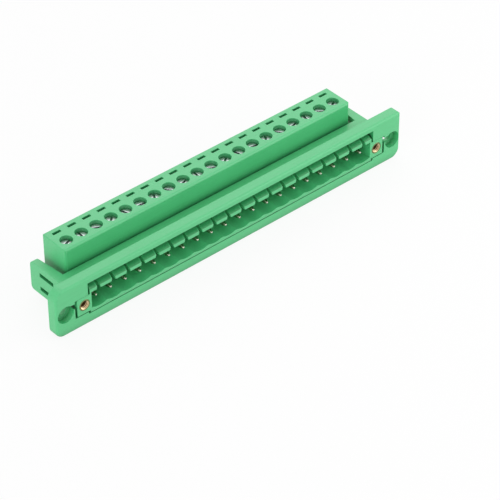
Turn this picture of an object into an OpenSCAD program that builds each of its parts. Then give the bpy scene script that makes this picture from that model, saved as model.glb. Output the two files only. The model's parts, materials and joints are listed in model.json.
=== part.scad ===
// Panel feed-through header with rear screw terminals.
// X runs along the row of poles, +Y points to the wire side, +Z is up.
// The origin lies midway between the two panel screw holes, on the flange's back face.

/* [Row] */
// Distance between neighbouring poles
pitch = 5.08; // [5:0.02:5.4]

/* [Flange] */
// Thickness of the flange
flange_t = 3.5; // [3:0.1:4.5]
// Flange edge below the line of the screw holes
flange_below = 7.1; // [6.6:0.05:8]
// Flange edge above the line of the screw holes
flange_above = 8.35; // [8:0.05:10]
// Screw hole axis beyond the header's end face
ear_x = 3.4; // [3.2:0.1:5]
// Flange end beyond the screw hole axis
ear_end = 3.2; // [3:0.1:5]
// Clear hole for the panel screw
hole_d = 3.2; // [2.6:0.1:3.6]
// Counterbore for the panel screw's head
bore_d = 5.3; // [4.6:0.1:5.4]
// Depth of the counterbore
bore_depth = 2.2; // [1.2:0.1:2.4]
// Radius of the flange's upper left corner
flange_upper_r = 3.2; // [2:0.1:4]
// Radius of the flange's lower right corner
flange_lower_r = 4.5; // [2:0.1:5]
// Radius of the flange's two other corners
flange_point_r = 1; // [0.8:0.1:2]
// Rounding of the flange's front edges
flange_edge_r = 0.9; // [0.2:0.1:1]
// Height of the relief notch between counterbore and window
notch_h = 1.7; // [1:0.1:2]
// Middle of the relief notch above the screw hole axis
notch_up = 1.2; // [0.8:0.1:1.4]

/* [Header] */
// Outer bottom of the header below the pins
header_below = 3.5; // [3.2:0.05:3.8]
// Outer top of the header above the pins
header_above = 4.95; // [4.7:0.05:5.4]
// Thickness of the socket's floor
floor_t = 1.3; // [1:0.1:1.5]
// Thickness of the socket's roof
roof_t = 1.85; // [1.4:0.05:2.1]
// Depth of the socket from its mouth
socket_depth = 8; // [7:0.1:9]
// Thickness of the wall that carries the pins
pin_wall = 1.85; // [1.4:0.05:2.4]
// Run of the ramp on the roof's front edge
ramp_run = 1.4; // [0.8:0.1:2]
// Rise of the ramp on the roof's front edge
ramp_rise = 0.9; // [0.6:0.05:1.4]
// Width of a keying slot at the roof's inside
key_low_w = 1.6; // [1.2:0.1:2]
// Width of a keying slot at the roof's outside
key_top_w = 0.5; // [0.3:0.1:0.8]
// Length of a keying slot from the mouth
key_len = 5; // [3:0.1:6]
// Depth of the hollow in the socket's floor at each pole
hollow_depth = 0.45; // [0.2:0.05:0.6]
// Width of the ridge between two hollows
ridge_w = 0.5; // [0.3:0.1:1]
// Width of an end block behind the flange
block_w = 5.3; // [5:0.1:6]
// Step of an end block's side, where it passes through the flange
block_step = 0.4; // [0.3:0.05:0.6]
// Top of an end block above the pins
block_above = 2.75; // [2.5:0.05:3]
// Bottom of an end block below the pins
block_below = 2.85; // [2.5:0.05:3.1]
// Radius of an end block's outer top corner
block_r = 0.6; // [0.3:0.1:1]
// Reach of the socket's roof and floor over an end block
roof_over = 0.5; // [0.2:0.1:0.8]
// Width of the groove between the header's top and the terminal block
seam_w = 0.7; // [0.4:0.05:0.9]
// Depth of the groove between the header's top and the terminal block
seam_depth = 1; // [0.4:0.1:1.4]

/* [Arms] */
// Thickness of an arm at its root
arm_root_t = 2.9; // [2.4:0.1:3.2]
// Thickness of an arm at its end
arm_end_t = 1.9; // [1.4:0.1:2.4]
// Reach of an arm behind the flange
arm_len = 16.5; // [13.5:0.1:18]
// Lower edge of an arm below the pins
arm_below = 4.75; // [4.4:0.05:5.4]
// Radius of an arm's upper rear corner
arm_top_r = 1.6; // [0.8:0.1:2.4]
// Radius of an arm's lower rear corner
arm_low_r = 1.2; // [0.4:0.1:1.6]
// Height of a slot in an arm
arm_slot_h = 1.3; // [0.8:0.1:1.6]
// Length of a slot in an arm
arm_slot_len = 6; // [4:0.1:6.6]
// Middle of the upper slot above the pins
arm_slot_up = 2.2; // [1.8:0.1:3]
// Middle of the lower slot below the pins
arm_slot_down = 2.5; // [2:0.1:2.8]

/* [Terminal block] */
// Depth of the terminal block
term_depth = 9.75; // [9:0.05:11]
// Top of the terminal block above the pins
term_above = 11.6; // [11:0.1:13]
// End wall of the terminal block beyond the row
term_skin = 0.8; // [0.4:0.05:1.2]
// Rounding of the terminal block's front edges
term_r = 0.8; // [0.4:0.1:1]
// Rounding of the terminal block's other edges
term_edge_r = 0.3; // [0.2:0.1:0.4]
// Screw axis behind the terminal block's front face
screw_y = 3.65; // [3.5:0.05:4]
// Width of a test slot
probe_w = 2.7; // [2:0.1:3.4]
// Depth of a test slot's mouth, front to back
probe_l = 0.9; // [0.7:0.1:1.2]
// Middle of a test slot behind the screw axis
probe_back = 4.2; // [3.6:0.1:4.4]
// How deep a test slot goes down
probe_down = 5; // [3:0.1:5.5]

/* [Clamps] */
// Side of the square pin
pin_w = 1; // [0.8:0.05:1.1]
// Pin tip behind the socket's mouth
tip_back = 1.3; // [0.8:0.1:2.5]
// Length of the tapered pin tip
taper_len = 0.9; // [0.5:0.1:1.5]
// Width of the pin tip's end
taper_w = 0.45; // [0.3:0.05:0.7]
// Length of the flat bar behind the screw axis
bar_back = 2.9; // [2.5:0.1:4]
// Thread diameter of the clamping screw
screw_d = 2.9; // [2.5:0.05:3]
// Diameter of the screw's head
head_d = 3.5; // [3.3:0.05:3.9]
// Height of the screw's head
head_h = 1.8; // [1.2:0.1:2.2]
// Head below the terminal block's top
head_below = 1.25; // [0.6:0.05:2]
// Width of the screwdriver slot
drive_w = 0.6; // [0.4:0.05:0.9]
// Depth of the screwdriver slot
drive_depth = 0.8; // [0.5:0.1:1]
// Room for the wire in the open clamp
wire_h = 2.8; // [2.6:0.1:3.2]
// Side wall of the cage
cage_wall = 0.5; // [0.4:0.05:0.6]
// Floor of the cage
cage_floor = 0.8; // [0.6:0.1:1.2]
// Threaded roof of the cage
cage_roof = 1.5; // [1:0.1:2]
// Length of the cage along the wire
cage_len = 4.2; // [3.8:0.1:4.6]
// Rise of the cage from open to closed
cage_travel = 2.5; // [1.5:0.1:2.6]

/* [Inserts] */
// Outer diameter of a threaded insert
insert_d = 3.5; // [3.4:0.1:4]
// Core diameter of the insert's thread
insert_core = 2.5; // [2:0.05:2.6]
// Length of an insert
insert_len = 6; // [4:0.1:8]
// Bevel at the insert's mouth
insert_bevel = 0.2; // [0.1:0.05:0.3]

/* [Fits] */
// Gap between window and header at the bottom
window_fit = 0.25; // [0.05:0.01:0.3]
// Gap between window and end block at its top
top_fit = 0.04; // [0.04:0.01:0.15]
// Gap between window and end block at its side
side_fit = 0.7; // [0.4:0.05:0.8]
// Gap over the roof for the plug's catch
catch_gap = 1.7; // [1.4:0.05:2.2]
// Window beyond the roof's end
catch_end = 0.6; // [0.3:0.05:0.9]
// Radial gap of the screw in the cage
thread_fit = 0.05; // [0.03:0.01:0.08]
// Radial gap of the screw in the housing
shank_fit = 0.1; // [0.05:0.01:0.15]
// Radial gap of the screw's head in its well
head_fit = 0.1; // [0.05:0.01:0.15]
// Gap under the screw's head and under its tip
seat_fit = 0.05; // [0.02:0.01:0.1]
// Gap beside the screw inside the cage
cage_room = 0.15; // [0.1:0.01:0.2]
// Gap beside the bar inside the cage
bar_room = 0.35; // [0.2:0.05:0.5]
// Gap between bar and open cage roof
bar_lift = 0.1; // [0.05:0.01:0.2]
// Gap between cage and housing
cage_fit = 0.1; // [0.05:0.01:0.15]
// Gap around the pin in its wall
pin_fit = 0.03; // [0.02:0.01:0.06]
// Gap around the insert in its block
insert_fit = 0.02; // [0.01:0.01:0.04]

/* [Hidden] */
poles = 20;
$fn = 64;
cut = 1;
plastic = [0.22, 0.66, 0.40];
brass = [0.80, 0.62, 0.30];
steel = [0.78, 0.79, 0.80];
tin = [0.86, 0.86, 0.84];

row_half = poles * pitch / 2;
mouth_y = -flange_t;
block_end = row_half + block_w;
nose_end = block_end - block_step;
insert_x = (row_half + nose_end) / 2;
hole_x = block_end + ear_x;
flange_end = hole_x + ear_end;
roof_end = row_half + roof_over;
floor_z = -header_below + floor_t;
roof_z = header_above - roof_t;
socket_back = mouth_y + socket_depth;
header_back = socket_back + pin_wall;

term_end = row_half + term_skin;
term_back = header_back + term_depth;
axis_y = header_back + screw_y;
head_top = term_above - head_below;
head_under = head_top - head_h;
bar_z = pin_w / 2;
screw_tip = bar_z + seat_fit;

cage_room_w = screw_d + 2 * cage_room;
cage_w = cage_room_w + 2 * cage_wall;
bar_w = cage_room_w - 2 * bar_room;
cage_low = -bar_z - wire_h - cage_floor;
cage_in_low = cage_low + cage_floor;
cage_in_top = bar_z + bar_lift;
cage_top = cage_in_top + cage_roof;
chamber_w = cage_w + 2 * cage_fit;
chamber_y = axis_y - cage_len / 2 - cage_fit;
chamber_low = cage_low - cage_fit;
chamber_top = cage_top + cage_travel + cage_fit;

function pole_x(i) = (i - (poles - 1) / 2) * pitch;
function two_digits(i) = str(i < 9 ? "0" : "", i + 1);
function screw_name(i) = str("clamp_screw_", two_digits(i));
function cage_name(i) = str("clamp_cage_", two_digits(i));
// Screwdriver slots stand at a different angle on every screw
function drive_angle(i) = (i * 67 + 20) % 180;

// Extrusions of an outline drawn in the two other axes
module along_x(x0, x1) {
  translate([x0, 0, 0])
    rotate([90, 0, 90])
      linear_extrude(x1 - x0)
        children();
}

module along_y(y0, y1) {
  translate([0, y1, 0])
    rotate([90, 0, 0])
      linear_extrude(y1 - y0)
        children();
}

module along_z(z0, z1) {
  translate([0, 0, z0])
    linear_extrude(z1 - z0)
      children();
}

module rect(x0, x1, y0, y1) {
  translate([x0, y0])
    square([x1 - x0, y1 - y0]);
}

// What a round corner takes off a square one, with the corner at the origin and the shape in +X +Y
module corner_waste(r) {
  difference() {
    translate([-cut, -cut])
      square([r + cut, r + cut]);
    translate([r, r])
      circle(r);
  }
}

// Rectangle with a radius at each corner, in the order low left, low right, top right, top left
module round_rect(x0, x1, y0, y1, radii) {
  difference() {
    rect(x0, x1, y0, y1);
    if (radii[0] > 0) translate([x0, y0]) corner_waste(radii[0]);
    if (radii[1] > 0) translate([x1, y0]) mirror([1, 0]) corner_waste(radii[1]);
    if (radii[2] > 0) translate([x1, y1]) rotate(180) corner_waste(radii[2]);
    if (radii[3] > 0) translate([x0, y1]) mirror([0, 1]) corner_waste(radii[3]);
  }
}

module both_ends() {
  children();
  mirror([1, 0, 0]) children();
}

module flange_blank() {
  intersection() {
    along_y(mouth_y, 0)
      round_rect(-flange_end, flange_end, -flange_below, flange_above,
        [flange_point_r, flange_lower_r, flange_point_r, flange_upper_r]);
    along_x(-flange_end, flange_end)
      round_rect(mouth_y, 0, -flange_below, flange_above, [flange_edge_r, 0, 0, flange_edge_r]);
    along_z(-flange_below, flange_above)
      round_rect(-flange_end, flange_end, mouth_y, 0, [flange_edge_r, flange_edge_r, 0, 0]);
  }
}

module window_outline() {
  window_end = nose_end + side_fit;
  slot_end = roof_end + catch_end;
  rect(-window_end, window_end, -block_below - window_fit, block_above + top_fit);
  rect(-slot_end, slot_end, -header_below - window_fit, header_above + catch_gap);
}

module panel_frame() {
  color(plastic)
    difference() {
      flange_blank();
      along_y(mouth_y - cut, cut)
        window_outline();
      both_ends()
        ear_cuts();
    }
}

// Panel screw hole, its counterbore and the notch that opens it to the window
module ear_cuts() {
  translate([hole_x, 0, 0])
    rotate([90, 0, 0]) {
      translate([0, 0, -cut])
        cylinder(d = hole_d, h = flange_t + 2 * cut);
      translate([0, 0, flange_t - bore_depth])
        cylinder(d = bore_d, h = bore_depth + cut);
    }
  notch_x = nose_end + side_fit / 2;
  translate([notch_x, mouth_y - cut, notch_up - notch_h / 2])
    cube([hole_x - bore_d / 4 - notch_x, bore_depth + cut, notch_h]);
}

// Header through the flange: socket walls and the two end blocks
module header_nose() {
  along_y(mouth_y, 0) {
    round_rect(-nose_end, nose_end, -block_below, block_above, [0, 0, block_r, block_r]);
    round_rect(-roof_end, roof_end, -header_below, header_above, [0, 0, roof_over, roof_over]);
  }
}

// Header behind the flange, with a groove along its rear top edge
module header_shoulder() {
  seam_z = header_above - seam_depth;
  along_x(-block_end, block_end)
    polygon([
      [0, -header_below],
      [header_back, -header_below],
      [header_back, seam_z],
      [header_back - seam_w, seam_z],
      [header_back - seam_w, header_above],
      [0, header_above]
    ]);
}

// Arm beside the terminal block, thinner towards its end, with two slots that leave a springy tongue
module arm() {
  inner_x = block_end - arm_root_t;
  difference() {
    intersection() {
      along_x(inner_x, block_end)
        round_rect(0, arm_len, -arm_below, header_above, [0, arm_low_r, arm_top_r, 0]);
      along_z(-arm_below, header_above)
        polygon([
          [inner_x, 0],
          [block_end, 0],
          [block_end, arm_len],
          [block_end - arm_end_t, arm_len],
          [inner_x, header_back]
        ]);
    }
    for (slot_z = [arm_slot_up, -arm_slot_down])
      translate([inner_x - cut, header_back, slot_z - arm_slot_h / 2])
        cube([arm_root_t + 2 * cut, arm_slot_len, arm_slot_h]);
  }
}

// Socket as seen from the front: straight roof and a floor hollowed at each pole
module socket_outline() {
  chord = pitch / 2 - ridge_w / 2;
  hollow_r = (chord * chord + hollow_depth * hollow_depth) / (2 * hollow_depth);
  rect(-row_half, row_half, floor_z, roof_z);
  for (i = [0 : poles - 1])
    translate([pole_x(i), floor_z])
      intersection() {
        translate([0, hollow_r - hollow_depth])
          circle(hollow_r);
        rect(-chord, chord, -hollow_depth, hollow_depth / 2);
      }
}

module key_slot() {
  polygon([
    [-key_low_w / 2, roof_z - roof_t / 4],
    [key_low_w / 2, roof_z - roof_t / 4],
    [key_top_w / 2, header_above + roof_t / 4],
    [-key_top_w / 2, header_above + roof_t / 4]
  ]);
}

module header_cuts() {
  along_y(mouth_y - cut, socket_back)
    socket_outline();
  along_x(-block_end, block_end)
    polygon([
      [mouth_y - cut, header_above - ramp_rise - cut * ramp_rise / ramp_run],
      [mouth_y + ramp_run + cut, header_above + cut * ramp_rise / ramp_run],
      [mouth_y - cut, header_above + cut * ramp_rise / ramp_run]
    ]);
  for (i = [0 : poles - 1])
    translate([pole_x(i), 0, 0]) {
      along_y(mouth_y - cut, mouth_y + key_len)
        key_slot();
      pin_hole(socket_back, header_back);
    }
  both_ends()
    translate([insert_x, mouth_y + insert_len, 0])
      rotate([90, 0, 0])
        cylinder(d = insert_d + 2 * insert_fit, h = insert_len + cut);
}

module pin_hole(y0, y1) {
  side = pin_w + 2 * pin_fit;
  translate([-side / 2, y0 - cut, -side / 2])
    cube([side, y1 - y0 + 2 * cut, side]);
}

module header_housing() {
  color(plastic)
    difference() {
      union() {
        header_nose();
        header_shoulder();
        both_ends()
          arm();
      }
      header_cuts();
    }
}

module terminal_blank() {
  intersection() {
    along_x(-term_end, term_end)
      round_rect(header_back, term_back, -flange_below, term_above, [0, term_edge_r, term_edge_r, term_r]);
    along_y(header_back, term_back)
      round_rect(-term_end, term_end, -flange_below, term_above, [0, 0, term_edge_r, term_edge_r]);
    along_z(-flange_below, term_above)
      round_rect(-term_end, term_end, header_back, term_back, [term_r, term_r, term_edge_r, term_edge_r]);
  }
}

// Inside of one pole: screw well, screw bore, cage chamber, wire mouth, pin hole and test slot
module pole_cuts() {
  well_d = head_d + 2 * head_fit;
  seat_z = head_under - seat_fit;
  translate([0, axis_y, seat_z])
    cylinder(d = well_d, h = term_above - seat_z + cut);
  translate([0, axis_y, chamber_top - cut])
    cylinder(d = screw_d + 2 * shank_fit, h = seat_z - chamber_top + 2 * cut);
  translate([-chamber_w / 2, chamber_y, chamber_low])
    cube([chamber_w, cage_len + 2 * cage_fit, chamber_top - chamber_low]);
  translate([-chamber_w / 2, axis_y, chamber_low])
    cube([chamber_w, term_back - axis_y + cut, cage_top + cage_fit - chamber_low]);
  translate([-probe_w / 2, axis_y + probe_back - probe_l / 2, term_above - probe_down])
    cube([probe_w, probe_l, probe_down + cut]);
  pin_hole(header_back, chamber_y);
}

module terminal_housing() {
  color(plastic)
    difference() {
      terminal_blank();
      for (i = [0 : poles - 1])
        translate([pole_x(i), 0, 0])
          pole_cuts();
    }
}

// Brass sleeve whose mouth is flush with the end block, axis along Y
module threaded_insert() {
  core = insert_core / 2;
  outer = insert_d / 2;
  color(brass)
    translate([insert_x, mouth_y, 0])
      rotate([-90, 0, 0])
        rotate_extrude()
          polygon([
            [core + insert_bevel, 0],
            [outer, 0],
            [outer, insert_len],
            [core, insert_len],
            [core, insert_bevel]
          ]);
}

// Square pin with a tapered tip, widened to a flat bar inside the clamp
module contact_pin() {
  tip_y = mouth_y + tip_back;
  bar_y = chamber_y + cage_fit;
  end_y = axis_y + bar_back;
  intersection() {
    along_x(-bar_w / 2, bar_w / 2)
      polygon([
        [tip_y, -taper_w / 2],
        [tip_y + taper_len, -pin_w / 2],
        [end_y, -pin_w / 2],
        [end_y, pin_w / 2],
        [tip_y + taper_len, pin_w / 2],
        [tip_y, taper_w / 2]
      ]);
    along_z(-pin_w / 2, pin_w / 2)
      polygon([
        [-taper_w / 2, tip_y],
        [taper_w / 2, tip_y],
        [pin_w / 2, tip_y + taper_len],
        [pin_w / 2, bar_y],
        [bar_w / 2, bar_y],
        [bar_w / 2, end_y],
        [-bar_w / 2, end_y],
        [-bar_w / 2, bar_y],
        [-pin_w / 2, bar_y],
        [-pin_w / 2, tip_y + taper_len]
      ]);
  }
}

module contact_pins() {
  color(tin)
    for (i = [0 : poles - 1])
      translate([pole_x(i), 0, 0])
        contact_pin();
}

// Cheese-head screw that turns in place, its tip over the bar
module clamp_screw(i) {
  head_bevel = head_h / 8;
  point = screw_d / 6;
  color(steel)
    translate([pole_x(i), axis_y, 0])
      difference() {
        rotate_extrude()
          polygon([
            [0, screw_tip],
            [screw_d / 2 - point, screw_tip],
            [screw_d / 2, screw_tip + point],
            [screw_d / 2, head_under],
            [head_d / 2, head_under],
            [head_d / 2, head_top - head_bevel],
            [head_d / 2 - head_bevel, head_top],
            [0, head_top]
          ]);
        translate([0, 0, head_top - drive_depth])
          rotate(drive_angle(i))
            translate([-head_d, -drive_w / 2, 0])
              cube([2 * head_d, drive_w, drive_depth + cut]);
      }
}

// Square sleeve around bar and wire, drawn up by the screw
module clamp_cage(i) {
  color(steel)
    translate([pole_x(i), axis_y, 0])
      difference() {
        translate([-cage_w / 2, -cage_len / 2, cage_low])
          cube([cage_w, cage_len, cage_top - cage_low]);
        translate([-cage_room_w / 2, -cage_len / 2 - cut, cage_in_low])
          cube([cage_room_w, cage_len + 2 * cut, cage_in_top - cage_in_low]);
        translate([0, 0, cage_in_top - cut / 2])
          cylinder(d = screw_d + 2 * thread_fit, h = cage_roof + cut);
      }
}

panel_frame();
header_housing();
terminal_housing();
mirror([1, 0, 0]) threaded_insert();  // threaded_insert_left
threaded_insert();  // threaded_insert_right
contact_pins();
for (i = [0 : poles - 1]) {
  clamp_screw(i);
  clamp_cage(i);
}
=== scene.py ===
import json
import math
from contextlib import contextmanager

import bmesh
import bpy
import numpy as np
from bpy.props import FloatProperty, FloatVectorProperty, IntProperty, PointerProperty
from bpy.types import Operator, Panel, PropertyGroup
from mathutils import Matrix, Vector


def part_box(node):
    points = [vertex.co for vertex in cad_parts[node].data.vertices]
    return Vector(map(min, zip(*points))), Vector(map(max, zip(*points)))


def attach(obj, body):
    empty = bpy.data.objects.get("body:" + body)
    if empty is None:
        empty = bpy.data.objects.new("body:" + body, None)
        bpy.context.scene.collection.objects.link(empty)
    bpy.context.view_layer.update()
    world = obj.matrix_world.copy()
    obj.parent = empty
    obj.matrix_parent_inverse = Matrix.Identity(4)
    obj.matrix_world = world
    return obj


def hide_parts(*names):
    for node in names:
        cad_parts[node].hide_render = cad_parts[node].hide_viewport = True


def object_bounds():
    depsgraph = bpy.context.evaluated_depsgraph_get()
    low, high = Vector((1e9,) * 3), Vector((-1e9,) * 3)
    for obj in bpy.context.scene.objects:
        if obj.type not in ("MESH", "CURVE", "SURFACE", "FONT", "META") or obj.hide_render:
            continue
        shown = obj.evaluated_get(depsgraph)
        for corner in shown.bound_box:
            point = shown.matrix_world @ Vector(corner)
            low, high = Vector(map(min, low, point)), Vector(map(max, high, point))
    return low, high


bl_info = {
    "name": "Feed-through header looks",
    "version": (1, 0, 0),
    "blender": (4, 5, 0),
    "location": "3D View > Sidebar > Header",
    "description": "Dresses the solids of a panel feed-through header with rear screw terminals",
    "category": "Object",
}

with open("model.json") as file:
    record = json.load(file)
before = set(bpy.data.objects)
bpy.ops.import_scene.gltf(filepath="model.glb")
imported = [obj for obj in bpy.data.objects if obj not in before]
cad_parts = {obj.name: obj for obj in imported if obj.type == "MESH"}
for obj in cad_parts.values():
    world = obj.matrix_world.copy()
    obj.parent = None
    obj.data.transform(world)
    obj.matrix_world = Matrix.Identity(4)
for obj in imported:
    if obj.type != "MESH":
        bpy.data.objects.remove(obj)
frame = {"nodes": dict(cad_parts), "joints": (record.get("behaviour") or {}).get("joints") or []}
CAD_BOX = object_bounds()

MM = 0.001
MICRON = 1e-6
WELD = 2 * MICRON
HOUSING = "housing"
FLANGE = "panel_frame"
MOULDINGS = (FLANGE, "header_housing", "terminal_housing")
INSERTS = ("threaded_insert_left", "threaded_insert_right")
PINS = "contact_pins"
SCREWS = sorted(name for name in frame["nodes"] if name.startswith("clamp_screw_"))
CAGES = sorted(name for name in frame["nodes"] if name.startswith("clamp_cage_"))
SCREW_AXES = {joint["child"]: joint["pos_m"] for joint in frame["joints"] if joint["type"] == "hinge"}
POLE_X = np.array([SCREW_AXES[name][0] for name in SCREWS])
PITCH = float(POLE_X[1] - POLE_X[0])
AXIS_Y = SCREW_AXES[SCREWS[0]][1]
# Stretches along X, Y and Z of the painted shade on the socket's ramps, and, along X from a pole, of the
# strip at a ramp's edge that the painted shade leaves out as a painted highlight
RAMP_SHADE_BOX = ((-51.3 * MM, 51.3 * MM), (-3.42 * MM, -1.4 * MM), (3.95 * MM, 5.05 * MM))
RAMP_EDGE_UNSHADED = (-0.85 * MM, -0.2 * MM)
# Stretch along Y, from a little in front of an insert's mouth, that is its front face, and its soft end
INSERT_FACE = (-1 * MM, 0.06 * MM, 0.03 * MM)
# Sizes of the marks in each finish, along X, Y and Z where they are drawn out
PLASTIC_CLOUD = 11 * MM
PLASTIC_STREAK = (14 * MM, 0.7 * MM, 0.7 * MM)
SCREW_CLOUD = 0.9 * MM
SCREW_RING = 0.06 * MM
CAGE_CLOUD = 1.2 * MM
CAGE_LINE = (0.12 * MM, 0.12 * MM, 3 * MM)
PIN_CLOUD = 0.7 * MM
PIN_LINE = (0.08 * MM, 2.5 * MM, 0.08 * MM)
BRASS_CLOUD = 0.8 * MM
BRASS_MARK = (6 * MM, 0.07 * MM, 6 * MM)
# Angles between faces: flat enough to join, sharp enough to round, and the most that is shaded smooth
FLAT_ANGLE = math.radians(0.2)
SHARP_ANGLE = math.radians(35)
SMOOTH_ANGLE = math.radians(40)
# Phases of a thread's four rows in one turn
THREAD_PHASES = (0, 3 / 8, 1 / 2, 7 / 8)
# Points on a quarter of a rounding, on a screw's head beside its slot, along the slot, and round an insert
ARC_POINTS = 4
HEAD_POINTS = 11
SLOT_POINTS = 9
SLEEVE_POINTS = 49
# Cuts on each side of the flange's rounder corner, and faces across a cage's rounded edge
CORNER_CUTS = 5
CAGE_STEPS = 2
# Turn of the first screw's slot and from one slot to the next, in degrees, as on the solids
FIRST_SLOT = 20
NEXT_SLOT = 67
HALF_TURN = 180
# Rings and sectors of the floor, the camera's sensor width in millimetres and its near limit in metres
FLOOR_RINGS = 24
FLOOR_SECTORS = 64
SENSOR = 36
NEAR_CLIP = 0.01
LAMPS = ("key", "fill", "side")


class MouldingSettings(PropertyGroup):
    """Sizes and colours of the moulded plastic pieces."""

    edge_radius: FloatProperty(
        name="Edge radius", description="Rounding of the mouldings' edges",
        default=0.09 * MM, min=0.02 * MM, max=0.3 * MM, subtype="DISTANCE", unit="LENGTH")
    edge_steps: IntProperty(
        name="Edge steps", description="Faces across a rounded edge", default=2, min=1, max=4)
    flange_corner: FloatProperty(
        name="Flange corner", description="Radius of the flange's lower left corner",
        default=2.3 * MM, min=1 * MM, max=4 * MM, subtype="DISTANCE", unit="LENGTH")
    flange_edge: FloatProperty(
        name="Flange edge", description="Rounding of the flange's front edges",
        default=0.9 * MM, min=0.2 * MM, max=1 * MM, subtype="DISTANCE", unit="LENGTH")
    deep_colour: FloatVectorProperty(
        name="Deep green", description="Darker shade of the moulded plastic",
        default=(0.060, 0.490, 0.178), size=3, min=0, max=1, subtype="COLOR")
    light_colour: FloatVectorProperty(
        name="Light green", description="Lighter shade of the moulded plastic",
        default=(0.078, 0.550, 0.212), size=3, min=0, max=1, subtype="COLOR")
    grain: FloatProperty(
        name="Grain", description="Size of the mould's spark-eroded grain",
        default=0.09 * MM, min=0.02 * MM, max=0.5 * MM, subtype="DISTANCE", unit="LENGTH")
    # Painted shade: the colour that the ramps under the flange's bar take on, standing in for its shadow
    ramp_shade_colour: FloatVectorProperty(
        name="Ramp green", description="Shaded green of the ramps over the socket",
        default=(0.008, 0.290, 0.072), size=3, min=0, max=1, subtype="COLOR")
    # Painted shade: the colour that narrow corners and recesses take on, standing in for the shade that falls
    # there
    corner_shade_colour: FloatVectorProperty(
        name="Corner green", description="Painted shade of the plastic in narrow corners",
        default=(0.018, 0.215, 0.070), size=3, min=0, max=1, subtype="COLOR")
    corner_shade_reach: FloatProperty(
        name="Corner reach", description="How far from a corner its painted shade ends",
        default=3 * MM, min=0.5 * MM, max=8 * MM, subtype="DISTANCE", unit="LENGTH")
    roughness: FloatProperty(
        name="Roughness", description="Middle roughness of the plastic",
        default=0.42, min=0, max=1, subtype="FACTOR")


class ClampSettings(PropertyGroup):
    """Sizes and colours of the clamping screws and cages."""

    head_height: FloatProperty(
        name="Head height", description="Height of a screw's head",
        default=1.8 * MM, min=1 * MM, max=2.5 * MM, subtype="DISTANCE", unit="LENGTH")
    thread_diameter: FloatProperty(
        name="Thread diameter", description="Outer diameter of a screw's thread",
        default=2.9 * MM, min=2 * MM, max=3.2 * MM, subtype="DISTANCE", unit="LENGTH")
    thread_pitch: FloatProperty(
        name="Thread pitch", description="Rise of a screw's thread in one turn",
        default=0.5 * MM, min=0.3 * MM, max=0.8 * MM, subtype="DISTANCE", unit="LENGTH")
    thread_depth: FloatProperty(
        name="Thread depth", description="Depth of a screw's thread",
        default=0.29 * MM, min=0.1 * MM, max=0.4 * MM, subtype="DISTANCE", unit="LENGTH")
    slot_width: FloatProperty(
        name="Slot width", description="Width of the screwdriver slot",
        default=0.6 * MM, min=0.4 * MM, max=0.9 * MM, subtype="DISTANCE", unit="LENGTH")
    slot_depth: FloatProperty(
        name="Slot depth", description="Depth of the screwdriver slot",
        default=0.8 * MM, min=0.4 * MM, max=1.2 * MM, subtype="DISTANCE", unit="LENGTH")
    slot_lip: FloatProperty(
        name="Slot lip", description="Rounding of the slot's edges",
        default=0.05 * MM, min=0.01 * MM, max=0.1 * MM, subtype="DISTANCE", unit="LENGTH")
    rim: FloatProperty(
        name="Rim", description="Rounding of the head's upper edge",
        default=0.2 * MM, min=0.05 * MM, max=0.4 * MM, subtype="DISTANCE", unit="LENGTH")
    cage_edge: FloatProperty(
        name="Cage edge", description="Rounding of a cage's edges",
        default=0.08 * MM, min=0.02 * MM, max=0.2 * MM, subtype="DISTANCE", unit="LENGTH")
    screw_colour: FloatVectorProperty(
        name="Screw", description="Zinc-plated steel of the screws",
        default=(0.66, 0.68, 0.70), size=3, min=0, max=1, subtype="COLOR")
    cage_colour: FloatVectorProperty(
        name="Cage", description="Zinc-plated steel of the cages",
        default=(0.56, 0.57, 0.58), size=3, min=0, max=1, subtype="COLOR")


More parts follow.
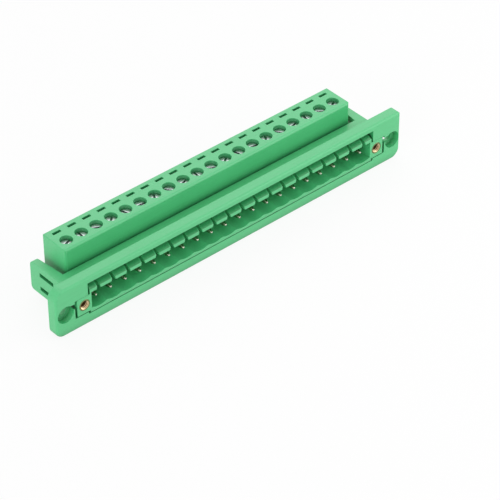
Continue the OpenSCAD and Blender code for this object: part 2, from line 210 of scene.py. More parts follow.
class ContactSettings(PropertyGroup):
    """Sizes and colours of the contact pins and the threaded inserts."""

    taper_length: FloatProperty(
        name="Taper length", description="Length of a pin's tapered tip",
        default=0.9 * MM, min=0.3 * MM, max=2 * MM, subtype="DISTANCE", unit="LENGTH")
    tip_width: FloatProperty(
        name="Tip width", description="Width of a pin's end face",
        default=0.45 * MM, min=0.2 * MM, max=0.8 * MM, subtype="DISTANCE", unit="LENGTH")
    bar_start: FloatProperty(
        name="Bar start", description="Where a pin widens to its flat bar, along Y",
        default=7.9 * MM, min=5 * MM, max=12 * MM, subtype="DISTANCE", unit="LENGTH")
    pin_edge: FloatProperty(
        name="Pin edge", description="Rounding of a pin's long edges",
        default=0.07 * MM, min=0.02 * MM, max=0.2 * MM, subtype="DISTANCE", unit="LENGTH")
    insert_core: FloatProperty(
        name="Insert core", description="Core diameter of an insert's thread",
        default=2.5 * MM, min=2 * MM, max=2.8 * MM, subtype="DISTANCE", unit="LENGTH")
    insert_thread: FloatProperty(
        name="Insert thread", description="Outer diameter of an insert's thread",
        default=3.0 * MM, min=2.4 * MM, max=3.2 * MM, subtype="DISTANCE", unit="LENGTH")
    insert_pitch: FloatProperty(
        name="Insert pitch", description="Rise of an insert's thread in one turn",
        default=0.5 * MM, min=0.3 * MM, max=0.8 * MM, subtype="DISTANCE", unit="LENGTH")
    insert_bevel: FloatProperty(
        name="Insert bevel", description="Bevel at an insert's mouth",
        default=0.15 * MM, min=0.05 * MM, max=0.45 * MM, subtype="DISTANCE", unit="LENGTH")
    tin_colour: FloatVectorProperty(
        name="Tin", description="Bright tin plating of the pins' tips",
        default=(0.62, 0.59, 0.52), size=3, min=0, max=1, subtype="COLOR")
    # Painted shade: the shafts behind the tips take this darker colour, standing in for the shade in the
    # socket
    shaft_shade_colour: FloatVectorProperty(
        name="Shaft", description="Shaded, brownish plating of the pins' shafts",
        default=(0.36, 0.36, 0.26), size=3, min=0, max=1, subtype="COLOR")
    brass_colour: FloatVectorProperty(
        name="Brass", description="Turned brass of the inserts",
        default=(0.90, 0.70, 0.42), size=3, min=0, max=1, subtype="COLOR")
    face_colour: FloatVectorProperty(
        name="Face", description="Dull brass of the inserts' front faces",
        default=(0.20, 0.24, 0.10), size=3, min=0, max=1, subtype="COLOR")
    # Painted shade: the brass deep in a bore takes this brown, standing in for the shade in the hole
    bore_shade_colour: FloatVectorProperty(
        name="Bore", description="Shadowed brown of the brass deep in the thread",
        default=(0.075, 0.036, 0.012), size=3, min=0, max=1, subtype="COLOR")
    bright_reach: FloatProperty(
        name="Bright reach", description="Depth to which the brass of a bore is bright",
        default=0.75 * MM, min=0, max=1.5 * MM, subtype="DISTANCE", unit="LENGTH")
    bore_shade_reach: FloatProperty(
        name="Bore reach", description="Depth at which the brass is wholly brown",
        default=1.35 * MM, min=0.3 * MM, max=5 * MM, subtype="DISTANCE", unit="LENGTH")


class StageSettings(PropertyGroup):
    """Camera, lamps and floor."""

    azimuth: FloatProperty(
        name="Azimuth", description="Camera's turn round the part, from straight in front",
        default=math.radians(-40.93), subtype="ANGLE", unit="ROTATION")
    elevation: FloatProperty(
        name="Elevation", description="Camera's height as an angle",
        default=math.radians(38.68), subtype="ANGLE", unit="ROTATION")
    roll: FloatProperty(
        name="Roll", description="Camera's tilt about its own axis",
        default=math.radians(-0.28), subtype="ANGLE", unit="ROTATION")
    aim: FloatVectorProperty(
        name="Aim", description="Point that the camera looks at",
        default=(0.89 * MM, -8.23 * MM, -7.03 * MM), size=3, subtype="TRANSLATION", unit="LENGTH")
    distance: FloatProperty(
        name="Distance", description="Camera's distance from the aim point",
        default=691.8 * MM, min=0.1, subtype="DISTANCE", unit="LENGTH")
    lens: FloatProperty(
        name="Lens", description="Focal length in millimetres on a sensor 36 mm wide",
        default=179.47, min=10, unit="CAMERA")
    floor_radius: FloatProperty(
        name="Floor radius", description="Radius of the pale floor",
        default=4.0, min=0.5, subtype="DISTANCE", unit="LENGTH")
    floor_colour: FloatVectorProperty(
        name="Floor", description="Pale floor",
        default=(0.92, 0.92, 0.92), size=3, min=0, max=1, subtype="COLOR")
    shadow_share: FloatProperty(
        name="Shadow share", description="Share of the floor's own shading that the camera sees",
        default=0.11, min=0, max=1, subtype="FACTOR")
    sky: FloatProperty(
        name="Sky", description="Strength of the even light from all round", default=0.66, min=0)
    key_power: FloatProperty(
        name="Key power", description="Power of the soft lamp above, in watts",
        default=3.4, min=0, subtype="POWER")
    key_side: FloatProperty(
        name="Key side", description="Side of the soft lamp above",
        default=1.2, min=0.05, subtype="DISTANCE", unit="LENGTH")
    key_place: FloatVectorProperty(
        name="Key place", description="Where the soft lamp above stands",
        default=(0.45, 0.6, 0.75), size=3, subtype="TRANSLATION", unit="LENGTH")
    fill_power: FloatProperty(
        name="Fill power", description="Power of the soft lamp at the left, in watts",
        default=3.2, min=0, subtype="POWER")
    fill_side: FloatProperty(
        name="Fill side", description="Side of the soft lamp at the left",
        default=0.5, min=0.05, subtype="DISTANCE", unit="LENGTH")
    fill_place: FloatVectorProperty(
        name="Fill place", description="Where the soft lamp at the left stands",
        default=(-0.90, -0.30, 0.30), size=3, subtype="TRANSLATION", unit="LENGTH")
    side_power: FloatProperty(
        name="Side power", description="Power of the small lamp at the front right, in watts",
        default=0.35, min=0, subtype="POWER")
    side_side: FloatProperty(
        name="Side lamp's side", description="Side of the small lamp at the front right",
        default=0.30, min=0.05, subtype="DISTANCE", unit="LENGTH")
    side_place: FloatVectorProperty(
        name="Side place", description="Where the small lamp at the front right stands",
        default=(0.22, -0.20, 0.12), size=3, subtype="TRANSLATION", unit="LENGTH")


class HeaderSettings(PropertyGroup):
    """All settings of the feed-through header."""

    moulding: PointerProperty(type=MouldingSettings)
    clamp: PointerProperty(type=ClampSettings)
    contact: PointerProperty(type=ContactSettings)
    stage: PointerProperty(type=StageSettings)


class Wire:
    """One output socket of a node tree. Sums and products of wires and numbers add Math nodes."""

    def __init__(self, socket):
        self.socket = socket

    @classmethod
    def start(cls, tree, kind="ShaderNodeTexCoord", output="Object"):
        """The first wire of a tree, by default its Object coordinates in metres."""
        return cls(tree.nodes.new(kind).outputs[output])

    def node(self, kind, settings=None, inputs=None, output=0):
        """Adds a node to this wire's tree: settings first, then values or wires of its sockets."""
        tree = self.socket.id_data
        made = tree.nodes.new(kind)
        for key, value in (settings or {}).items():
            setattr(made, key, value)
        for key, value in (inputs or {}).items():
            if isinstance(value, Wire):
                tree.links.new(value.socket, made.inputs[key])
            else:
                made.inputs[key].default_value = value
        return Wire(made.outputs[output]) if made.outputs else made

    def math(self, operation, first, second=0.0):
        """A Math node in this wire's tree."""
        return self.node("ShaderNodeMath", {"operation": operation}, {0: first, 1: second})

    def __add__(self, other):
        return self.math("ADD", self, other)

    def __radd__(self, other):
        return self.math("ADD", other, self)

    def __sub__(self, other):
        return self.math("SUBTRACT", self, other)

    def __rsub__(self, other):
        return self.math("SUBTRACT", other, self)

    def __mul__(self, other):
        return self.math("MULTIPLY", self, other)

    def __truediv__(self, other):
        return self.math("DIVIDE", self, other)

    def axis(self, name):
        """One of the coordinates X, Y and Z."""
        return self.node("ShaderNodeSeparateXYZ", {}, {"Vector": self}, name)

    def noise(self, size, detail=2.0):
        """Noise whose features are about the given size, or one unit if the wire is already scaled."""
        return self.node("ShaderNodeTexNoise", {}, {"Vector": self, "Scale": 1 / size, "Detail": detail})

    def stretched(self, sizes):
        """Coordinates divided by a size along each axis."""
        scale = tuple(1 / size for size in sizes)
        return self.node("ShaderNodeVectorMath", {"operation": "MULTIPLY"}, {0: self, 1: scale})

    def between(self, low, high, soft=0.08 * MM):
        """1 inside a stretch and 0 outside it, with soft ends."""
        ends = {0: (self - low) / soft, 1: (high - self) / soft}
        return self.node("ShaderNodeMath", {"operation": "MINIMUM", "use_clamp": True}, ends)

    def blend(self, first, second):
        """Colour between two colours or wires, with this wire as the share of the second."""
        first, second = (c if isinstance(c, Wire) else (*c, 1.0) for c in (first, second))
        inputs = {0: self, 6: first, 7: second}
        return self.node("ShaderNodeMix", {"data_type": "RGBA", "clamp_factor": True}, inputs, 2)

    def bump(self, depth, strength=1.0):
        """Normal of a surface whose height follows this wire."""
        return self.node("ShaderNodeBump", {}, {"Height": self, "Distance": depth, "Strength": strength})


def new_material(name):
    """An empty material and its Object coordinates."""
    material = bpy.data.materials.new(name)
    material.use_nodes = True
    material.node_tree.nodes.clear()
    return material, Wire.start(material.node_tree)


def surface(wire, inputs):
    """Principled surface with the given sockets."""
    shader = wire.node("ShaderNodeBsdfPrincipled", {}, inputs)
    wire.node("ShaderNodeOutputMaterial", {}, {"Surface": shader})


def darker(colour, share):
    """A colour times a share."""
    return [share * part for part in colour]


def green_plastic(settings):
    """Satin moulded plastic: slow clouds and flow streaks in its green, painted shade on the ramps over the
    socket, the ramp colour heaviest at their front, with a strip at each ramp's edge left out as a painted
    highlight, painted shade in narrow corners, and a fine spark-eroded grain."""
    material, place = new_material("green_plastic")
    cloud = place.noise(PLASTIC_CLOUD)
    streak = place.stretched(PLASTIC_STREAK).noise(1.0, 3.0)
    grain = place.noise(settings.grain, 1.0)
    tone = cloud * 0.6 + streak * 0.9 - 0.25
    # Painted shade: an ambient-occlusion mask darkens the plastic in narrow corners and recesses towards the
    # corner green
    open_share = place.node("ShaderNodeAmbientOcclusion", {"samples": 16},
                            {"Distance": settings.corner_shade_reach}, "AO")
    # Painted shade on the ramps, heaviest at their front, leaving out a strip at each ramp's edge as a
    # painted highlight
    x_share, y_share, z_share = (place.axis(name).between(*ends) for name, ends in zip("XYZ", RAMP_SHADE_BOX))
    ramp_front, ramp_back = RAMP_SHADE_BOX[1]
    front = (ramp_back - place.axis("Y")) / (ramp_back - ramp_front)
    ramp = x_share * y_share * z_share * front * (1 - from_pole(place).between(*RAMP_EDGE_UNSHADED))
    unshaded = tone.blend(settings.deep_colour, settings.light_colour)
    colour = (1 - open_share).blend(ramp.blend(unshaded, settings.ramp_shade_colour), settings.corner_shade_colour)
    roughness = settings.roughness - 0.09 + cloud * 0.08 + grain * 0.10
    surface(place, {
        "Base Color": colour,
        "Roughness": roughness,
        "Normal": grain.bump(4 * MICRON, 0.35),
        "IOR": 1.52,
        "Specular IOR Level": 0.85,
    })
    return material


def from_pole(place):
    """Distance along the row from the nearest pole, in metres."""
    along = place.axis("X") / PITCH - POLE_X[0] / PITCH
    return (along - along.math("ROUND", along)) * PITCH


def pole_radius(place):
    """Distance from the nearest screw's axis, in metres."""
    folded = from_pole(place)
    across = place.axis("Y") - AXIS_Y
    square = folded * folded + across * across
    return square.math("SQRT", square)


def plated_screw(settings):
    """Zinc-plated turned steel: fine rings round each screw's axis and a cloudy plating."""
    material, place = new_material("screw_steel")
    ring = place.node("ShaderNodeTexNoise", {"noise_dimensions": "1D"},
                      {"W": pole_radius(place), "Scale": 1 / SCREW_RING, "Detail": 2.0})
    cloud = place.noise(SCREW_CLOUD)
    deep = darker(settings.screw_colour, 0.82)
    surface(place, {
        "Base Color": (cloud * 1.2 - 0.1).blend(deep, settings.screw_colour),
        "Metallic": 1.0,
        "Roughness": 0.20 + cloud * 0.10 + ring * 0.08,
        "Normal": ring.bump(6 * MICRON, 0.4),
    })
    return material


def plated_cage(settings):
    """Stamped and zinc-plated steel with drawing lines along the cage's height."""
    material, place = new_material("cage_steel")
    lines = place.stretched(CAGE_LINE).noise(1.0, 2.0)
    cloud = place.noise(CAGE_CLOUD)
    deep = darker(settings.cage_colour, 0.8)
    surface(place, {
        "Base Color": (cloud * 0.8 + lines * 0.4 - 0.1).blend(deep, settings.cage_colour),
        "Metallic": 1.0,
        "Roughness": 0.30 + lines * 0.14,
        "Normal": lines.bump(5 * MICRON, 0.4),
    })
    return material


def tin_plate(settings, tip):
    """Tin-plated contact: bright at the tip, with painted shade darkening it behind the tip, and soft drawing
    lines along the pin.
    """
    material, place = new_material("tinned_contact")
    lines = place.stretched(PIN_LINE).noise(1.0, 2.0)
    cloud = place.noise(PIN_CLOUD)
    behind = (place.axis("Y") - tip) / settings.taper_length
    # Painted shade: darker towards the shaft behind the tip, standing in for the shade in the socket
    shaft_shade = behind * 2.6 + cloud * 0.2 + lines * 0.2 - 0.35
    surface(place, {
        "Base Color": shaft_shade.blend(settings.tin_colour, settings.shaft_shade_colour),
        "Metallic": 1.0,
        "Roughness": 0.16 + cloud * 0.10 + lines * 0.08,
        "Normal": lines.bump(3 * MICRON, 0.4),
    })
    return material


def turned_brass(settings, mouth):
    """Turned brass with tool marks square to its axis: a lacklustre front face, bright at the start of the
    thread and darkened deep in it by painted shade, brown where it is darkest."""
    material, place = new_material("brass_insert")
    marks = place.stretched(BRASS_MARK).noise(1.0, 2.0)
    cloud = place.noise(BRASS_CLOUD)
    deep = darker(settings.brass_colour, 0.75)
    unshaded = (cloud * 1.2 - 0.1).blend(deep, settings.brass_colour)
    inward = place.axis("Y") - mouth
    # Painted shade: the brass darkens with depth in the bore, standing in for the shade in the hole
    depth = (inward - settings.bright_reach) / (settings.bore_shade_reach - settings.bright_reach)
    face = inward.between(*INSERT_FACE)
    surface(place, {
        "Base Color": face.blend(depth.blend(unshaded, settings.bore_shade_colour), settings.face_colour),
        "Metallic": 1.0,
        "Roughness": 0.12 + cloud * 0.06 + marks * 0.08,
        "Normal": marks.bump(4 * MICRON, 0.4),
    })
    return material


def seen_rays(tree):
    """Is 1 for rays that show the background, straight or mirrored, and 0 for those that light the part."""
    straight = Wire.start(tree, "ShaderNodeLightPath", "Is Camera Ray")
    outputs = straight.socket.node.outputs
    mirrored = Wire(outputs["Is Glossy Ray"])
    through = Wire(outputs["Is Transmission Ray"])
    return straight.math("MINIMUM", straight + mirrored + through, 1.0)


def pale_floor(settings):
    """Pale floor that keeps the part's soft shadow and reads as white to the camera."""
    material = bpy.data.materials.new("pale_floor")
    material.use_nodes = True
    tree = material.node_tree
    tree.nodes.clear()
    seen = seen_rays(tree)
    matt = seen.node("ShaderNodeBsdfDiffuse", {}, {"Color": (*settings.floor_colour, 1.0)})
    white = seen.node("ShaderNodeEmission", {}, {"Color": (1, 1, 1, 1), "Strength": 1.0})
    share = seen * (1 - settings.shadow_share)
    mixed = seen.node("ShaderNodeMixShader", {}, {0: share, 1: matt, 2: white})
    seen.node("ShaderNodeOutputMaterial", {}, {"Surface": mixed})
    return material


def white_world(settings):
    """Even white light from all round, white where it is seen."""
    world = bpy.data.worlds.new("studio")
    world.use_nodes = True
    tree = world.node_tree
    tree.nodes.clear()
    seen = seen_rays(tree)
    light, white = (seen.node("ShaderNodeBackground", {}, {"Color": (1, 1, 1, 1), "Strength": strength})
                    for strength in (settings.sky, 1.0))
    mixed = seen.node("ShaderNodeMixShader", {}, {0: seen, 1: light, 2: white})
    seen.node("ShaderNodeOutputWorld", {}, {"Surface": mixed})
    return world


def grid_faces(rows, columns):
    """Quads between neighbouring rows and columns of a grid of points."""
    corner = np.arange(rows * columns).reshape(rows, columns)
    quads = np.stack([corner[:-1, :-1], corner[:-1, 1:], corner[1:, 1:], corner[1:, :-1]], axis=-1)
    return quads.reshape(-1, 4)


def joined(*grids):
    """One list of points and one of quads from several grids of points."""
    points, faces, first = [], [], 0
    for grid in grids:
        rows, columns = grid.shape[:2]
        points.append(grid.reshape(-1, 3))
        faces.append(grid_faces(rows, columns) + first)
        first += rows * columns
    return np.concatenate(points), np.concatenate(faces)


@contextmanager
def edited(mesh):
    """A mesh's editable copy, which is written back at the end."""
    work = bmesh.new()
    work.from_mesh(mesh)
    yield work
    work.to_mesh(mesh)
    work.free()


def welded_mesh(name, points, faces):
    """A mesh of points and faces whose seams are welded."""
    mesh = bpy.data.meshes.new(name)
    mesh.from_pydata(points.tolist(), [], faces.tolist())
    with edited(mesh) as work:
        bmesh.ops.remove_doubles(work, verts=work.verts, dist=WELD)
    return mesh


def closed_piece(name, points, faces, material):
    """An object at the origin whose seams are welded and whose faces point outwards."""
    mesh = welded_mesh(name, points, faces)
    with edited(mesh) as work:
        bmesh.ops.recalc_face_normals(work, faces=work.faces)
    return linked(name, mesh, material)


def linked(name, mesh, material):
    """An object of the scene with one material, shaded smooth over flat edges."""
    mesh.materials.clear()
    mesh.materials.append(material)
    mesh.shade_smooth()
    mesh.set_sharp_from_angle(angle=SMOOTH_ANGLE)
    piece = bpy.data.objects.new(name, mesh)
    bpy.context.scene.collection.objects.link(piece)
    return piece


def stands_for(piece, node, body):
    """The piece moves with a body and replaces a node, which is hidden."""
    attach(piece, body)
    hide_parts(node)


def welded_copy(node, name):
    """The node's own surface, with its loose triangles welded."""
    solid = frame["nodes"][node].data
    points = np.empty(len(solid.vertices) * 3, dtype=np.float32)
    solid.vertices.foreach_get("co", points)
    corners = np.empty(len(solid.loops), dtype=np.int32)
    solid.loops.foreach_get("vertex_index", corners)
    return welded_mesh(name, points.reshape(-1, 3), corners.reshape(-1, 3))


def rounded_piece(mesh, name, radius, steps, material, reshape=None):
    """A copied surface with its edges rounded.
    Flat neighbours are joined in pairs, and a bevel of the given radius follows every sharp edge. A reshaping
    function then gets the finished surface."""
    with edited(mesh) as work:
        bmesh.ops.join_triangles(work, faces=work.faces, angle_face_threshold=FLAT_ANGLE,
                                 angle_shape_threshold=math.pi)
    piece = linked(name, mesh, material)
    bevel = piece.modifiers.new("rounded edges", "BEVEL")
    bevel.width = radius
    bevel.segments = steps
    bevel.limit_method = "ANGLE"
    bevel.angle_limit = SHARP_ANGLE
    bevel.use_clamp_overlap = False
    bevel.loop_slide = False
    if reshape:
        finished = piece.evaluated_get(bpy.context.evaluated_depsgraph_get())
        piece.data = bpy.data.meshes.new_from_object(finished)
        piece.modifiers.clear()
        reshape(piece.data)
    flat = piece.modifiers.new("flat faces stay flat", "WEIGHTED_NORMAL")
    flat.mode = "FACE_AREA_WITH_ANGLE"
    flat.weight = 100
    return piece


def cut_across_wall(work, axis, wall, depth, places):
    """Cuts the faces that lie within a depth of one outer wall at several places along another axis."""
    along = Vector((1, 0, 0)) if axis == "z" else Vector((0, 0, 1))
    for place in places:
        faces = [face for face in work.faces
                 if all(abs(getattr(corner.co, axis) - wall) < depth for corner in face.verts)]
        parts = {part for face in faces for part in (face, *face.edges, *face.verts)}
        bmesh.ops.bisect_plane(work, geom=list(parts), dist=MICRON, plane_co=along * place, plane_no=along)


def rounder_corner(mesh, box, radius, front_edge, back_edge):
    """Draws the lower left corner of a plate in to a larger radius R.
    The walls are cut at the tangents of equal angles, so that the arc has points. A point beyond the arc's
    centre in x and z, at a distance over R - d, moves straight towards the centre to that distance, where d
    is how far a rounded edge of radius e stands in at a distance y from its face:
    e - sqrt(e^2 - (e - y)^2)."""
    low = box[0]
    steps = radius * np.tan(np.linspace(0, math.pi / 4, CORNER_CUTS + 1)[:-1])
    with edited(mesh) as work:
        cut_across_wall(work, "z", low.z, front_edge + WELD, low.x + radius - steps)
        cut_across_wall(work, "x", low.x, front_edge + WELD, low.z + radius - steps)
    points = np.empty(len(mesh.vertices) * 3, dtype=np.float32)
    mesh.vertices.foreach_get("co", points)
    x, y, z = points.reshape(-1, 3).astype(float).T
    out_x, out_z = low.x + radius - x, low.z + radius - z
    reach = np.full(len(y), radius)
    for edge, inward in ((front_edge, y - low.y), (back_edge, box[1].y - y)):
        short = np.clip(edge - inward, 0, edge)
        reach -= edge - np.sqrt(edge**2 - short**2)
    length = np.hypot(out_x, out_z)
    beyond = (out_x > 0) & (out_z > 0) & (length > reach)
    share = np.where(beyond, reach / np.maximum(length, MICRON), 1)
    moved = np.stack([low.x + radius - out_x * share, y, low.z + radius - out_z * share], axis=-1)
    mesh.vertices.foreach_set("co", moved.ravel())


def thread_rows(start, end, pitch, plain, tooth, turn):
    """Rows of a screw thread from one height to another.
    Row (n, j) lies at start + pitch (n + phase j + turn - 1), where turn runs from 0 to 1 round the axis,
    with the radius plain, tooth, tooth, plain for j = 0 to 3. Outside the stretch it is held at its end."""
    step = math.copysign(pitch, end - start)
    turns = np.arange(math.ceil(abs(end - start) / pitch) + 2)[:, None, None]
    phase = np.array(THREAD_PHASES)[None, :, None]
    height = start + step * (turns + phase + turn[None, None, :] - 1)
    radius = np.broadcast_to(np.array([plain, tooth, tooth, plain])[None, :, None], height.shape)
    inside = (height - start) * (height - end) < 0
    radius = np.where(inside, radius, plain)
    height = np.clip(height, min(start, end), max(start, end))
    return radius.reshape(-1, len(turn)), height.reshape(-1, len(turn))


def ring_rows(pairs, columns):
    """Plain rings, one row for each radius and height."""
    radius, height = np.array(pairs).T
    shape = (len(pairs), columns)
    return np.broadcast_to(radius[:, None], shape), np.broadcast_to(height[:, None], shape)


def round_an_axis(angle, radius, height):
    """Points at (radius cos angle, radius sin angle, height)."""
    angle = np.broadcast_to(angle[None, :], radius.shape)
    return np.stack([radius * np.cos(angle), radius * np.sin(angle), height], axis=-1)


def screw_surface(radius, top, tip, size):
    """A slotted cheese-head screw on the Z axis, its slot along X, as one closed surface.
    The head's top is a grid: y and z follow the slot's profile as one parameter runs across the slot, and
    x runs along the chord sqrt(r^2 - y^2) as the other. From its boundary, rings go over the rim, down the
    side, under the head, along the thread and over the point to the axis."""
    flat_r = radius - size.rim
    floor = top - size.slot_depth
    half = size.slot_width / 2
    under = top - size.head_height
    arc = np.linspace(0, math.pi / 2, ARC_POINTS)
    outward = np.linspace(math.asin((half + size.slot_lip) / flat_r), math.pi / 2, HEAD_POINTS)[1:]
    y = np.concatenate([[0, half], half + size.slot_lip * (1 - np.cos(arc)), flat_r * np.sin(outward)])
    z = np.concatenate([[floor, floor], top - size.slot_lip * (1 - np.sin(arc)), np.full(len(outward), top)])
    y = np.concatenate([-y[:0:-1], y])
    z = np.concatenate([z[:0:-1], z])
    chord = np.sqrt(np.maximum(flat_r**2 - y**2, 0))
    along = np.linspace(-1, 1, SLOT_POINTS)
    shape = (len(y), len(along))
    disc = np.stack([chord[:, None] * along, np.broadcast_to(y[:, None], shape),
                     np.broadcast_to(z[:, None], shape)], axis=-1)

    east = np.arcsin(np.clip(y / flat_r, -1, 1))
    angle = np.concatenate([east, math.pi - east[::-1]])
    edge = np.concatenate([z, z[::-1]])
    columns = len(angle)
    turn = (angle + math.pi / 2) / (2 * math.pi)
    rim_r = np.broadcast_to((flat_r + size.rim * np.sin(arc))[:, None], (len(arc), columns))
    rim_z = np.minimum(edge[None, :], top - size.rim * (1 - np.cos(arc))[:, None])
    soft = size.slot_lip
    crest = size.thread_diameter / 2
    root = crest - size.thread_depth
    point = tip + size.thread_depth
    parts = [
        (rim_r, rim_z),
        ring_rows([(radius, under + soft), (radius - soft, under), (root, under)], columns),
        thread_rows(under, point, size.thread_pitch, root, crest, turn),
        ring_rows([(root, point), (root - size.thread_depth, tip), (0, tip)], columns),
    ]
    rings = round_an_axis(angle, np.concatenate([p[0] for p in parts]), np.concatenate([p[1] for p in parts]))
    return joined(disc, rings)


def insert_surface(radius, mouth, end, size):
    """A threaded sleeve on the Y axis as one closed surface: rings from its bevelled mouth over the front
    face, along the outside and back through the thread."""
    angle = np.linspace(0, 2 * math.pi, SLEEVE_POINTS)
    turn = angle / (2 * math.pi)
    core = size.insert_core / 2
    edge = size.insert_bevel / 4
    columns = len(angle)
    start = mouth + size.insert_bevel
    parts = [
        ring_rows([(core, start), (core + size.insert_bevel, mouth), (radius - edge, mouth),
                   (radius, mouth + edge), (radius, end), (core, end)], columns),
        thread_rows(end, start, size.insert_pitch, core, size.insert_thread / 2, turn),
        ring_rows([(core, start)], columns),
    ]
    rings = round_an_axis(angle, np.concatenate([p[0] for p in parts]), np.concatenate([p[1] for p in parts]))
    return joined(rings[..., [0, 2, 1]])


def pin_surface(tip, end, pin_half, bar_half, size):
    """A square pin along Y as one closed surface: a rounded rectangle carried from the tip to the end.
    Station s has half width a, half height b and corner radius c, and point t of a corner lies at the
    corner's centre plus c (cos t, sin t)."""
    soft = size.pin_edge
    tip_half = size.tip_width / 2
    taper_end = tip + size.taper_length
    stations = np.array([
        (tip, 0, 0),
        (tip, tip_half - soft, tip_half - soft),
        (tip + soft, tip_half, tip_half),
        (taper_end, pin_half, pin_half),
        (size.bar_start, pin_half, pin_half),
        (size.bar_start, bar_half - soft, pin_half - soft),
        (size.bar_start + soft, bar_half, pin_half),
        (end - soft, bar_half, pin_half),
        (end, bar_half - soft, pin_half - soft),
        (end, 0, 0),
    ])
    y, a, b = (column[:, None] for column in stations.T)
    first = np.linspace(0, math.pi / 2, ARC_POINTS)
    corners = np.arange(4)[:, None] * math.pi / 2
    angle = np.append(corners + first, 2 * math.pi)
    middle = np.append(np.repeat(corners + math.pi / 4, ARC_POINTS), math.pi / 4)
    c = np.minimum(soft, np.minimum(a, b))
    x = (a - c) * np.sign(np.cos(middle)) + c * np.cos(angle)
    z = (b - c) * np.sign(np.sin(middle)) + c * np.sin(angle)
    return joined(np.stack([x, np.broadcast_to(y, x.shape), z], axis=-1))


def at_poles(points, faces):
    """Copies of a surface at every pole."""
    shift = np.stack([POLE_X, np.zeros_like(POLE_X), np.zeros_like(POLE_X)], axis=-1)
    copies = np.arange(len(POLE_X))
    many = points[None] + shift[:, None]
    many_faces = faces[None] + copies[:, None, None] * len(points)
    return many.reshape(-1, 3), many_faces.reshape(-1, 4)


def slot_angle(pole):
    """Screwdriver slots stand at a different angle on every screw."""
    return math.radians((pole * NEXT_SLOT + FIRST_SLOT) % HALF_TURN)


class HEADER_OT_mouldings(Operator):
    """Rounds the edges of the three plastic mouldings and gives them their green"""

    bl_idname = "header.mouldings"
    bl_label = "Plastic mouldings"

    def execute(self, context):
        settings = context.scene.header.moulding
        plastic = green_plastic(settings)
        for node in MOULDINGS:
            name = node + "_moulding"
            mesh = welded_copy(node, name)
            piece = rounded_piece(mesh, name, settings.edge_radius, settings.edge_steps, plastic,
                                  self.corner(settings) if node == FLANGE else None)
            stands_for(piece, node, HOUSING)
        return {"FINISHED"}

    def corner(self, settings):
        """The reshaping of the flange's lower left corner."""
        sizes = (settings.flange_corner, settings.flange_edge, settings.edge_radius)
        return lambda mesh: rounder_corner(mesh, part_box(FLANGE), *sizes)


class HEADER_OT_inserts(Operator):
    """Turns the two brass inserts with their inner threads"""

    bl_idname = "header.inserts"
    bl_label = "Threaded inserts"

    def execute(self, context):
        settings = context.scene.header.contact
        brass = turned_brass(settings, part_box(INSERTS[0])[0].y)
        for node in INSERTS:
            low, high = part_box(node)
            points, faces = insert_surface((high.x - low.x) / 2, low.y, high.y, settings)
            points = points + np.array([(low.x + high.x) / 2, 0, (low.z + high.z) / 2])
            piece = closed_piece(node + "_turned", points, faces, brass)
            stands_for(piece, node, HOUSING)
        return {"FINISHED"}


class HEADER_OT_pins(Operator):
    """Sweeps the row of contact pins"""

    bl_idname = "header.pins"
    bl_label = "Contact pins"

    def execute(self, context):
        settings = context.scene.header.contact
        low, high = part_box(PINS)
        bar_half = high.x - POLE_X[-1]
        points, faces = at_poles(*pin_surface(low.y, high.y, high.z, bar_half, settings))
        piece = closed_piece(PINS + "_plated", points, faces, tin_plate(settings, low.y))
        stands_for(piece, PINS, HOUSING)
        return {"FINISHED"}


class HEADER_OT_screws(Operator):
    """Makes the slotted clamping screws with their threads"""

    bl_idname = "header.screws"
    bl_label = "Clamping screws"

    def execute(self, context):
        settings = context.scene.header.clamp
        steel = plated_screw(settings)
        for pole, node in enumerate(SCREWS):
            low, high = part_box(node)
            points, faces = screw_surface((high.x - low.x) / 2, high.z, low.z, settings)
            turned = points @ np.array(Matrix.Rotation(slot_angle(pole), 3, "Z")).T
            place = np.array([POLE_X[pole], AXIS_Y, 0])
            piece = closed_piece(node + "_threaded", turned + place, faces, steel)
            stands_for(piece, node, node)
        return {"FINISHED"}


class HEADER_OT_cages(Operator):
    """Rounds the edges of the clamping cages and gives them their plating"""

    bl_idname = "header.cages"
    bl_label = "Clamping cages"

    def execute(self, context):
        settings = context.scene.header.clamp
        steel = plated_cage(settings)
        for node in CAGES:
            name = node + "_stamped"
            piece = rounded_piece(welded_copy(node, name), name, settings.cage_edge, CAGE_STEPS, steel)
            stands_for(piece, node, node)
        return {"FINISHED"}


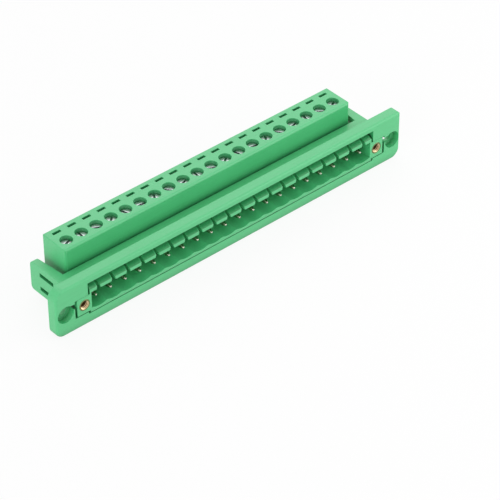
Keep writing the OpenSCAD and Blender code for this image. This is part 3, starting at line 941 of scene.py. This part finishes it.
class HEADER_OT_stage(Operator):
    """Sets the camera, the soft lamps, the pale floor and the white surroundings"""

    bl_idname = "header.stage"
    bl_label = "Stage"

    def execute(self, context):
        scene = context.scene
        settings = scene.header.stage
        scene.view_settings.view_transform = "Standard"
        scene.world = white_world(settings)
        self.floor(scene, settings)
        self.camera(scene, settings)
        for name in LAMPS:
            power, side, place = (getattr(settings, f"{name}_{what}") for what in ("power", "side", "place"))
            self.lamp(scene, name + "_lamp", power, side, place)
        return {"FINISHED"}

    def floor(self, scene, settings):
        """A flat disc: point (s, t) lies at radius R s squared and angle t, level with the underside."""
        share = np.linspace(0, 1, FLOOR_RINGS + 1)[:, None] ** 2
        angle = np.linspace(0, 2 * math.pi, FLOOR_SECTORS + 1)[None, :]
        radius = settings.floor_radius * share
        level = np.full((FLOOR_RINGS + 1, FLOOR_SECTORS + 1), CAD_BOX[0].z)
        points = np.stack([radius * np.cos(angle), radius * np.sin(angle), level], axis=-1)
        mesh = bpy.data.meshes.new("floor")
        flat, faces = joined(points)
        mesh.from_pydata(flat.tolist(), [], faces.tolist())
        floor = linked("floor", mesh, pale_floor(settings))

    def camera(self, scene, settings):
        """Looks at the aim point from the given azimuth, elevation and distance."""
        data = bpy.data.cameras.new("camera")
        data.sensor_width = SENSOR
        data.lens = settings.lens
        data.clip_start = NEAR_CLIP
        camera = bpy.data.objects.new("camera", data)
        scene.collection.objects.link(camera)
        level = math.cos(settings.elevation)
        back = Vector((math.sin(settings.azimuth) * level, -math.cos(settings.azimuth) * level,
                       math.sin(settings.elevation)))
        turn = back.to_track_quat("Z", "Y").to_matrix().to_4x4() @ Matrix.Rotation(settings.roll, 4, "Z")
        camera.matrix_world = Matrix.Translation(Vector(settings.aim) + back * settings.distance) @ turn
        scene.camera = camera

    def lamp(self, scene, name, power, side, place):
        """A square soft lamp that points at the part."""
        data = bpy.data.lights.new(name, "AREA")
        data.energy = power
        data.size = side
        lamp = bpy.data.objects.new(name, data)
        scene.collection.objects.link(lamp)
        lamp.location = place
        lamp.rotation_euler = Vector(place).to_track_quat("Z", "Y").to_euler()


STEPS = (HEADER_OT_mouldings, HEADER_OT_inserts, HEADER_OT_pins, HEADER_OT_screws, HEADER_OT_cages,
         HEADER_OT_stage)


class HEADER_PT_looks(Panel):
    """Lists the steps and settings of the feed-through header"""

    bl_idname = "HEADER_PT_looks"
    bl_label = "Feed-through header"
    bl_space_type = "VIEW_3D"
    bl_region_type = "UI"
    bl_category = "Header"

    def draw(self, context):
        for step in STEPS:
            self.layout.operator(step.bl_idname)
        header = context.scene.header
        for group in HeaderSettings.__annotations__:
            settings = getattr(header, group)
            box = self.layout.box()
            box.label(text=group.title())
            for name in type(settings).__annotations__:
                box.prop(settings, name)


CLASSES = (MouldingSettings, ClampSettings, ContactSettings, StageSettings, HeaderSettings, *STEPS,
           HEADER_PT_looks)


def register():
    """Registers the classes and gives the scene its settings."""
    for cls in CLASSES:
        bpy.utils.register_class(cls)
    bpy.types.Scene.header = PointerProperty(type=HeaderSettings)


def unregister():
    """Takes the settings and the classes away again."""
    del bpy.types.Scene.header
    for cls in reversed(CLASSES):
        bpy.utils.unregister_class(cls)


def main():
    """Runs every step in order."""
    register()
    bpy.ops.header.mouldings()
    bpy.ops.header.inserts()
    bpy.ops.header.pins()
    bpy.ops.header.screws()
    bpy.ops.header.cages()
    bpy.ops.header.stage()


if __name__ == "__main__":
    main()
